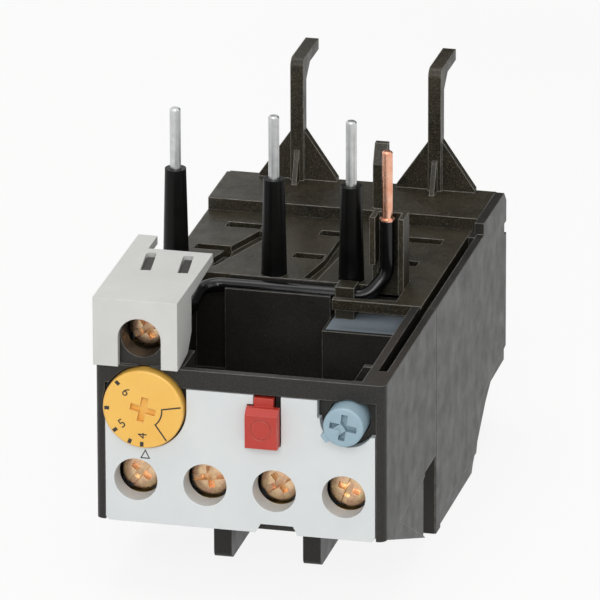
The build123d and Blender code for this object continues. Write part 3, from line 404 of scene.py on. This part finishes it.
# The two pale and the three coloured pieces are polycarbonate: clean colour, soft gloss and a painted highlight
# on the edges
polycarbonate = {"ior": 1.58}
surfaces["grey_plate"] = moulded(
    "moulded_light_grey_polycarbonate", "#d9dddd", "#d3d7d8", edge="#eef0f0", rough=(0.38, 0.5),
    grain_mm=0.35, grain_deep=0.18, edge_mm=0.12, **polycarbonate)
surfaces["white_cover"] = moulded(
    "moulded_warm_white_polycarbonate", "#d0d0cd", "#c8c8c4", edge="#eeeeeb", rough=(0.4, 0.52),
    grain_mm=0.35, grain_deep=0.2, edge_mm=0.14, **polycarbonate)
surfaces["orange_dial"] = moulded(
    "moulded_orange_polycarbonate", "#f2c05c", "#edb650", edge="#fadb9c", rough=(0.32, 0.45),
    grain_mm=0.4, grain_deep=0.15, edge_mm=0.12, **polycarbonate)
surfaces["red_button"] = moulded(
    "moulded_red_polycarbonate", "#bb3424", "#b02c20", edge="#dc8570", rough=(0.35, 0.48), grain_mm=0.35,
    grain_deep=0.15, edge_mm=0.12, **polycarbonate)
surfaces["blue_knob"] = moulded(
    "moulded_slate_blue_polycarbonate", "#9bb4c0", "#8ea8b5", edge="#c6d4dc", rough=(0.35, 0.48),
    grain_mm=0.35, grain_deep=0.15, edge_mm=0.12, **polycarbonate)

# Undyed polyamide on the hidden levers: creamy and dull, with a painted highlight on the edges
surfaces["inner_plastic"] = moulded(
    "moulded_natural_polyamide", "#d8d2c0", "#cec7b4", edge="#eeeadd", rough=(0.42, 0.55), grain_mm=0.4,
    grain_deep=0.2)
print(len(surfaces), "plastics")

# %% [markdown]
# ## The metals
#
# The pins are tin-plated: a soft grey shine with lengthwise drawing marks. The screws are zinc-plated and
# passivated, which turns them gold with patches of rose and green. Clamps are plain zinc plate, the bars
# are brass, and the strips and springs are rolled or drawn steel.

# %% Mix the metals
along_pin = (1.0, 1.0, 0.06)
along_bar = (1.0, 0.08, 1.0)

# Pins: a soft grey shine, streaked lengthwise by the drawing die
surfaces["tinned_pin"] = metal("tin_plated_copper", "#d6d8d7", "#bcc0bf", 1.6, (0.3, 0.44), along_pin)

# The bare end of the lead: bright salmon with darker streaks
surfaces["copper"] = metal("drawn_bare_copper", "#f5c2a8", "#e6a183", 1.8, (0.22, 0.36), along_pin)

# Screw heads: patches of straw gold and rose, glossy in places and dull in others
surfaces["screw_brass"] = metal("yellow_passivated_zinc_plate", "#ecd0a2", "#cfa088", 1.0, (0.24, 0.44))

# Bars and blades: warm yellow with rolling marks
surfaces["terminal_brass"] = metal("rolled_brass", "#d8b26a", "#c39b56", 2.5, (0.28, 0.4), along_bar)

# Clamps and main screws: cold, bright grey
surfaces["clamp_steel"] = metal("bright_zinc_plate", "#c3c5c6", "#a9abad", 1.4, (0.25, 0.4))

# Springs, bimetal strips and heater windings: three duller greys, the windings the darkest
surfaces["spring_steel"] = metal("drawn_spring_steel", "#a9a9aa", "#8d8d8f", 1.0, (0.3, 0.4))
surfaces["bimetal"] = metal("rolled_bimetal_strip", "#b3ada2", "#9c9489", 3.0, (0.3, 0.45), along_bar)
surfaces["heater_wire"] = metal("drawn_resistance_alloy", "#a39d95", "#85807a", 0.8, (0.35, 0.5))
print(len(surfaces), "surfaces in all")

# %% Dress the CAD pieces
for entry in frame["record"]["subparts"]:
    mesh = nodes[entry["node"]].data
    mesh.materials.clear()
    mesh.materials.append(surfaces[entry["material_slot"]])

# %% [markdown]
# ## Growing a mesh from a node tree
#
# A Geometry Nodes tree is a recipe with named inputs. The helper below makes an empty object, gives it the
# recipe, sets the inputs by their identifiers, and keeps the finished mesh. What comes out is a plain mesh
# at the origin, so it can ride on one body of the frame like any other piece.

# %% Start a tree, and grow a piece from it
def new_tree(name, inputs):
    """A geometry tree with the named inputs; returns the tree and its group input node."""
    tree = bpy.data.node_groups.new(name, "GeometryNodeTree")
    tree.interface.new_socket("Geometry", in_out="OUTPUT", socket_type="NodeSocketGeometry")
    for label, kind, value in inputs:
        socket = tree.interface.new_socket(label, in_out="INPUT", socket_type="NodeSocket" + kind)
        if value is not None:
            socket.default_value = value
    return tree, add_node(tree, "NodeGroupInput")


def finish_tree(tree, geometry, material):
    """Ends a tree in real geometry with one material."""
    real = add_node(tree, "GeometryNodeRealizeInstances", {0: geometry})
    painted = add_node(tree, "GeometryNodeSetMaterial", {"Geometry": real.outputs[0], "Material": material})
    add_node(tree, "NodeGroupOutput", {0: painted.outputs[0]})


def grow(name, tree, values, body, sharp=35.0):
    """Grows one plain mesh from a tree and lets it ride on a body."""
    piece = bpy.data.objects.new(name, bpy.data.meshes.new(name + "_seed"))
    scene.collection.objects.link(piece)
    recipe = piece.modifiers.new("recipe", "NODES")
    recipe.node_group = tree
    for item in tree.interface.items_tree:
        if item.item_type == "SOCKET" and item.in_out == "INPUT" and item.name in values:
            recipe[item.identifier] = values[item.name]
    grown = bpy.data.meshes.new_from_object(piece.evaluated_get(bpy.context.evaluated_depsgraph_get()))
    piece.modifiers.clear()
    piece.data = grown
    grown.name = name
    grown.shade_smooth()
    grown.set_sharp_from_angle(angle=math.radians(sharp))
    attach(piece, body)
    return piece


# %% [markdown]
# ## The terminal screws
#
# Each terminal has a combination screw: a low round head with a wide slot and a cross recess, on a threaded
# shank. Eight of them differ only in size and in how far they are turned, so one tree makes them all. The
# head is a cylinder whose top is pressed down towards the rim, the thread is a ripple that climbs with the
# angle round the shank, and three Boolean steps cut the slot and the two arms of the cross.

# %% Write the screw's recipe
screw_tree, screw_in = new_tree("combination_screw", (
    ("Head Radius", "Float", None), ("Head Height", "Float", None), ("Shank Radius", "Float", None),
    ("Length", "Float", None), ("Pitch", "Float", 0.6 * mm), ("Turn", "Float", 0.0),
    ("Place", "Vector", None), ("Plate", "Material", None)))


def arithmetic(tree, operation, first, second):
    """The output of one calculation on two values or sockets."""
    return add_node(tree, "ShaderNodeMath", {0: first, 1: second}, operation=operation).outputs[0]


def box_node(tree, wide, tall, deep, turn):
    """A cube of the given sizes in the middle of the head's face, turned about the screw's axis."""
    size = add_node(tree, "ShaderNodeCombineXYZ", {0: wide, 1: tall, 2: deep})
    cube = add_node(tree, "GeometryNodeMeshCube", {"Size": size.outputs[0]})
    angle = add_node(tree, "ShaderNodeCombineXYZ", {2: turn})
    placed = add_node(tree, "GeometryNodeTransform", {"Geometry": cube.outputs[0],
                                                      "Rotation": angle.outputs[0]})
    return placed.outputs[0]


print("the screw's recipe has", len(screw_in.outputs) - 1, "inputs")

# %% Dome the screw's head
head_radius = screw_in.outputs["Head Radius"]
head_height = screw_in.outputs["Head Height"]
disc = add_node(screw_tree, "GeometryNodeMeshCylinder",
                {"Vertices": 56, "Side Segments": 2, "Fill Segments": 12, "Radius": head_radius,
                 "Depth": head_height})
place_now = add_node(screw_tree, "GeometryNodeInputPosition")
split_now = add_node(screw_tree, "ShaderNodeSeparateXYZ", {0: place_now.outputs[0]})
flat_now = add_node(screw_tree, "ShaderNodeCombineXYZ", {0: split_now.outputs[0], 1: split_now.outputs[1]})
radial = add_node(screw_tree, "ShaderNodeVectorMath", {0: flat_now.outputs[0]}, operation="LENGTH")
share = arithmetic(screw_tree, "DIVIDE", radial.outputs["Value"], head_radius)
dome_fall = 0.32 * mm
fall = arithmetic(screw_tree, "MULTIPLY", arithmetic(screw_tree, "POWER", share, 5.0), -dome_fall)
on_top = arithmetic(screw_tree, "GREATER_THAN", split_now.outputs[2],
                    arithmetic(screw_tree, "MULTIPLY", head_height, 0.4))
drop = add_node(screw_tree, "ShaderNodeCombineXYZ", {2: arithmetic(screw_tree, "MULTIPLY", fall, on_top)})
domed = add_node(screw_tree, "GeometryNodeSetPosition", {"Geometry": disc.outputs["Mesh"],
                                                         "Offset": drop.outputs[0]})
half_up = add_node(screw_tree, "ShaderNodeCombineXYZ",
                   {2: arithmetic(screw_tree, "MULTIPLY", head_height, -0.5)})
head_set = add_node(screw_tree, "GeometryNodeTransform", {"Geometry": domed.outputs[0],
                                                          "Translation": half_up.outputs[0]})
print("the head's rim lies", round(dome_fall / mm, 2), "mm below its middle")

# %% Cut the slot and the cross
slot_wide = 0.95 * mm
slot_deep = 0.95 * mm
cross_wide = 1.0 * mm
cross_deep = 1.4 * mm
slot_long = arithmetic(screw_tree, "MULTIPLY", head_radius, 2.4)
cross_long = arithmetic(screw_tree, "MULTIPLY", head_radius, 1.15)
turn_by = screw_in.outputs["Turn"]
slot_cut = box_node(screw_tree, slot_long, slot_wide, 2 * slot_deep, turn_by)
cross_one = box_node(screw_tree, cross_long, cross_wide, 2 * cross_deep, turn_by)
cross_two = box_node(screw_tree, cross_wide, cross_long, 2 * cross_deep, turn_by)
recessed = head_set
for cutter in (slot_cut, cross_one, cross_two):
    recessed = add_node(screw_tree, "GeometryNodeMeshBoolean",
                        {"Mesh 1": recessed.outputs[0], "Mesh 2": cutter}, operation="DIFFERENCE",
                        solver="MANIFOLD")
print("the cross goes", round(cross_deep / mm, 2), "mm deep and the slot", round(slot_deep / mm, 2), "mm")

# %% Turn the thread on the shank
shank_radius = screw_in.outputs["Shank Radius"]
thread_share = 0.24
shank = add_node(screw_tree, "GeometryNodeMeshCylinder",
                 {"Vertices": 28, "Side Segments": 72, "Radius": shank_radius,
                  "Depth": screw_in.outputs["Length"]})
turns = arithmetic(screw_tree, "DIVIDE",
                   add_node(screw_tree, "ShaderNodeMath", {0: split_now.outputs[1],
                                                           1: split_now.outputs[0]},
                            operation="ARCTAN2").outputs[0], 2 * math.pi)
climb = arithmetic(screw_tree, "DIVIDE", split_now.outputs[2], screw_in.outputs["Pitch"])
ripple = arithmetic(screw_tree, "PINGPONG", arithmetic(screw_tree, "ADD", climb, turns), 0.5)
narrow = arithmetic(screw_tree, "SUBTRACT", 1.0, arithmetic(screw_tree, "MULTIPLY", ripple, thread_share))
thin = add_node(screw_tree, "ShaderNodeCombineXYZ", {0: narrow, 1: narrow, 2: 1.0})
shaped = add_node(screw_tree, "ShaderNodeVectorMath", {0: place_now.outputs[0], 1: thin.outputs[0]},
                  operation="MULTIPLY")
threaded = add_node(screw_tree, "GeometryNodeSetPosition", {"Geometry": shank.outputs["Mesh"],
                                                            "Position": shaped.outputs[0]})
under_head = arithmetic(screw_tree, "MULTIPLY",
                        arithmetic(screw_tree, "ADD", screw_in.outputs["Length"], head_height), -1.0)
shank_drop = add_node(screw_tree, "ShaderNodeCombineXYZ",
                      {2: arithmetic(screw_tree, "ADD",
                                     arithmetic(screw_tree, "MULTIPLY", screw_in.outputs["Length"], 0.5),
                                     under_head)})
shank_set = add_node(screw_tree, "GeometryNodeTransform", {"Geometry": threaded.outputs[0],
                                                           "Translation": shank_drop.outputs[0]})
print("half a turn of thread narrows the shank by", round(thread_share / 2, 2), "of its radius")

# %% Join head and shank, facing the front
whole_screw = add_node(screw_tree, "GeometryNodeJoinGeometry", {0: recessed.outputs[0]})
screw_tree.links.new(shank_set.outputs[0], whole_screw.inputs[0])
facing_front = add_node(screw_tree, "GeometryNodeTransform",
                        {"Geometry": whole_screw.outputs[0], "Translation": screw_in.outputs["Place"],
                         "Rotation": (math.radians(90), 0, 0)})
finish_tree(screw_tree, facing_front.outputs[0], screw_in.outputs["Plate"])
print("the screw's tree has", len(screw_tree.nodes), "nodes")

# %% Grow the eight screws
def screw(name, head_mm, head_high_mm, shank_mm, turned, slot):
    """A screw in the place of the CAD node with the same body name."""
    low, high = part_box(name)
    centre = (low + high) / 2
    values = {"Head Radius": head_mm / 2 * mm, "Head Height": head_high_mm * mm,
              "Shank Radius": shank_mm / 2 * mm, "Length": high.y - low.y - head_high_mm * mm,
              "Turn": math.radians(turned), "Place": (centre.x, low.y, centre.z), "Plate": surfaces[slot]}
    piece = grow(name + "_turned", screw_tree, values, name)
    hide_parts(name)
    return piece


for index, turned in enumerate((52, 8, 35, 70)):
    screw(f"aux_screw_{index + 1}", 6.1, 2.0, 3.5, turned, "screw_brass")
screw("link_screw", 5.8, 2.0, 3.5, 30, "screw_brass")
for index, turned in enumerate((20, 48, 76)):
    made = screw(f"main_screw_{index + 1}", 7.0, 2.0, 4.0, turned, "clamp_steel")
print("a screw has", len(made.data.polygons), "faces")

# %% [markdown]
# ## The button springs
#
# Behind the red button and behind the reset arm sits a small coil spring. A spring is a rule rather than a
# shape: a wire swept along a spiral. The tree takes the wire, the coil's radius, its length and its number
# of turns, and the wire's ends are closed.

# %% Write the spring's recipe and wind both springs
spring_tree, spring_in = new_tree("coil_spring", (
    ("Coil Radius", "Float", None), ("Wire Radius", "Float", None), ("Height", "Float", None),
    ("Turns", "Float", 4.0), ("Place", "Vector", None), ("Steel", "Material", None)))
spiral = add_node(spring_tree, "GeometryNodeCurveSpiral",
                  {"Resolution": 28, "Rotations": spring_in.outputs["Turns"],
                   "Start Radius": spring_in.outputs["Coil Radius"],
                   "End Radius": spring_in.outputs["Coil Radius"], "Height": spring_in.outputs["Height"]})
wire_round = add_node(spring_tree, "GeometryNodeCurvePrimitiveCircle",
                      {"Resolution": 10, "Radius": spring_in.outputs["Wire Radius"]})
wire = add_node(spring_tree, "GeometryNodeCurveToMesh",
                {"Curve": spiral.outputs[0], "Profile Curve": wire_round.outputs["Curve"],
                 "Fill Caps": True})
wire_set = add_node(spring_tree, "GeometryNodeTransform",
                    {"Geometry": wire.outputs[0], "Translation": spring_in.outputs["Place"],
                     "Rotation": (math.radians(-90), 0, 0)})
finish_tree(spring_tree, wire_set.outputs[0], spring_in.outputs["Steel"])


def wind(node, body, turns, wire_mm):
    """A coil spring in the place of a CAD node, as long and as wide as the node."""
    low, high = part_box(node)
    centre = (low + high) / 2
    wire_radius = wire_mm / 2 * mm
    values = {"Coil Radius": (high.x - low.x) / 2 - wire_radius, "Wire Radius": wire_radius,
              "Height": high.y - low.y - 2 * wire_radius, "Turns": turns,
              "Place": (centre.x, low.y + wire_radius, centre.z), "Steel": surfaces["spring_steel"]}
    piece = grow(node + "_wound", spring_tree, values, body, 60.0)
    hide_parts(node)


coil_turns = 4.0
coil_wire_mm = 0.35
wind("test_spring", "test_button", coil_turns, coil_wire_mm)
wind("reset_spring", "reset_plunger", coil_turns, coil_wire_mm)
print("two springs of", coil_turns, "turns, wound from", coil_wire_mm, "mm wire")

# %% [markdown]
# ## The printed dial
#
# The dial is set to the motor's current. It carries numerals, tick marks that crowd together along the
# scale, and an outlined window. The print is a skin of black ink, so each mark is a thin flat mesh just
# proud of the face. One tree sets out the ticks, and the numerals are text turned into mesh.

# %% Mix the ink and find the dial's face
ink = moulded("black_pad_printing_ink", "#2b2723", "#332e29", "#2b2723", (0.5, 0.65), 0.3, 0.1, 0.02)
ink_thick = 0.03 * mm
dial_low, dial_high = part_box("adjusting_dial")
dial_centre = (dial_low + dial_high) / 2
dial_face = dial_low.y
print("the dial is", round((dial_high.x - dial_low.x) / mm, 2), "mm across")

# %% Write the tick recipe and set out the ticks
tick_tree, tick_in = new_tree("scale_ticks", (
    ("Count", "Int", 5), ("First", "Float", None), ("Step", "Float", None), ("Crowding", "Float", None),
    ("Outer Radius", "Float", None), ("Length", "Float", None), ("Width", "Float", None),
    ("Place", "Vector", None), ("Ink", "Material", None)))
spots = add_node(tick_tree, "GeometryNodeMeshLine", {"Count": tick_in.outputs["Count"],
                                                     "Offset": (0.0, 0.0, 0.0)})
number = add_node(tick_tree, "GeometryNodeInputIndex")
even = arithmetic(tick_tree, "MULTIPLY", number.outputs[0], tick_in.outputs["Step"])
crowd = arithmetic(tick_tree, "MULTIPLY", arithmetic(tick_tree, "POWER", number.outputs[0], 2.0),
                   tick_in.outputs["Crowding"])
tick_angle = arithmetic(tick_tree, "SUBTRACT",
                        arithmetic(tick_tree, "ADD", tick_in.outputs["First"], even), crowd)
tick_turn = add_node(tick_tree, "ShaderNodeCombineXYZ", {2: tick_angle})
tick_size = add_node(tick_tree, "ShaderNodeCombineXYZ", {0: tick_in.outputs["Length"],
                                                         1: tick_in.outputs["Width"], 2: ink_thick})
tick_block = add_node(tick_tree, "GeometryNodeMeshCube", {"Size": tick_size.outputs[0]})
tick_out = arithmetic(tick_tree, "SUBTRACT", tick_in.outputs["Outer Radius"],
                      arithmetic(tick_tree, "MULTIPLY", tick_in.outputs["Length"], 0.5))
tick_shift = add_node(tick_tree, "ShaderNodeCombineXYZ", {0: tick_out})
tick_set = add_node(tick_tree, "GeometryNodeTransform", {"Geometry": tick_block.outputs["Mesh"],
                                                         "Translation": tick_shift.outputs[0]})
ticks = add_node(tick_tree, "GeometryNodeInstanceOnPoints", {"Points": spots.outputs["Mesh"],
                                                             "Instance": tick_set.outputs[0],
                                                             "Rotation": tick_turn.outputs[0]})
ticks_front = add_node(tick_tree, "GeometryNodeTransform",
                       {"Geometry": ticks.outputs[0], "Translation": tick_in.outputs["Place"],
                        "Rotation": (math.radians(90), 0, 0)})
finish_tree(tick_tree, ticks_front.outputs[0], tick_in.outputs["Ink"])

tick_values = {"Count": 5, "First": math.radians(134), "Step": math.radians(52),
               "Crowding": math.radians(4.6), "Outer Radius": 5.95 * mm, "Length": 0.75 * mm,
               "Width": 0.55 * mm, "Place": (dial_centre.x, dial_face - ink_thick / 2, dial_centre.z),
               "Ink": ink}
grow("dial_ticks", tick_tree, tick_values, "dial")
print(tick_values["Count"], "ticks, each step", round(math.degrees(2 * tick_values["Crowding"]), 1),
      "degrees shorter than the last")

# %% Print the numerals
def printed_text(name, words, size_mm, x_mm, z_mm, turned, body):
    """Text as a thin mesh on the dial's face, centred x_mm and z_mm from the dial's centre."""
    letters = bpy.data.curves.new(name, "FONT")
    letters.body = words
    letters.size = size_mm * mm
    letters.align_x = "CENTER"
    letters.align_y = "CENTER"
    letters.extrude = ink_thick / 2
    letters.resolution_u = 4
    source = bpy.data.objects.new(name + "_source", letters)
    scene.collection.objects.link(source)
    mesh = bpy.data.meshes.new_from_object(source.evaluated_get(bpy.context.evaluated_depsgraph_get()))
    bpy.data.objects.remove(source)
    place = Vector((dial_centre.x + x_mm * mm, dial_face - ink_thick / 2, dial_centre.z + z_mm * mm))
    mesh.transform(Matrix.Translation(place) @ Matrix.Rotation(math.radians(90), 4, "X")
                   @ Matrix.Rotation(math.radians(turned), 4, "Z"))
    mesh.materials.clear()
    mesh.materials.append(ink)
    piece = bpy.data.objects.new(name, mesh)
    scene.collection.objects.link(piece)
    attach(piece, body)


numeral_mm = 2.0
numerals = (("6", -2.6, 2.6, -40), ("5", -3.2, -2.5, 38), ("4", 0.0, -4.2, 90))
for words, x_mm, z_mm, turned in numerals:
    printed_text("numeral_" + words, words, numeral_mm, x_mm, z_mm, turned, "dial")
print(len(numerals), "numerals of", numeral_mm, "mm")

# %% Draw the outlined window and the setting mark
def ink_line(name, points_mm, width_mm, origin, body, closed=False):
    """A flat inked line through points given as x and z from an origin on a face that looks forward."""
    spots = [Vector(p) for p in points_mm]
    count = len(spots)
    vertices = []
    for index, spot in enumerate(spots):
        before = spots[index - 1] if closed or index > 0 else spot
        after = spots[(index + 1) % count] if closed or index < count - 1 else spot
        first = (spot - before).normalized() if before != spot else (after - spot).normalized()
        second = (after - spot).normalized() if after != spot else first
        side = Vector((-(first + second).y, (first + second).x)).normalized()
        reach = width_mm / 2 / max(0.35, side.dot(Vector((-first.y, first.x))))
        for sign in (-1, 1):
            flat = spot + side * reach * sign
            for lift in (0.0, ink_thick):
                vertices.append(origin + Vector((flat.x * mm, -lift, flat.y * mm)))
    faces = []
    for index in range(count if closed else count - 1):
        a = index * 4
        b = (index + 1) % count * 4
        faces += [(a + 1, a + 3, b + 3, b + 1), (a, b, b + 2, a + 2), (a, a + 1, b + 1, b),
                  (a + 2, b + 2, b + 3, a + 3)]
    if not closed:
        last = (count - 1) * 4
        faces += [(0, 2, 3, 1), (last, last + 1, last + 3, last + 2)]
    mesh = bpy.data.meshes.new(name)
    mesh.from_pydata(vertices, [], faces)
    mesh.materials.append(ink)
    piece = bpy.data.objects.new(name, mesh)
    scene.collection.objects.link(piece)
    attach(piece, body)


def polar(radius, degrees):
    """Radius and angle as x and z."""
    return radius * math.cos(math.radians(degrees)), radius * math.sin(math.radians(degrees))


dial_origin = Vector((dial_centre.x, dial_face, dial_centre.z))
window_outer, window_inner = 6.0, 3.0
window_arc = [polar(window_inner, 5 - 9 * k) for k in range(7)]
window = [polar(window_outer, 8)] + window_arc + [polar(window_outer, -52)]
ink_line("dial_window", window, 0.22, dial_origin, "dial")
mark_origin = Vector((dial_centre.x + 0.1 * mm, plate_low.y, dial_centre.z - 7.6 * mm))
ink_line("setting_mark", [(-0.65, -0.6), (0.65, -0.6), (0.0, 0.65)], 0.16, mark_origin, "casing",
         True)
print("a window of", len(window), "points, and a triangle under the dial")
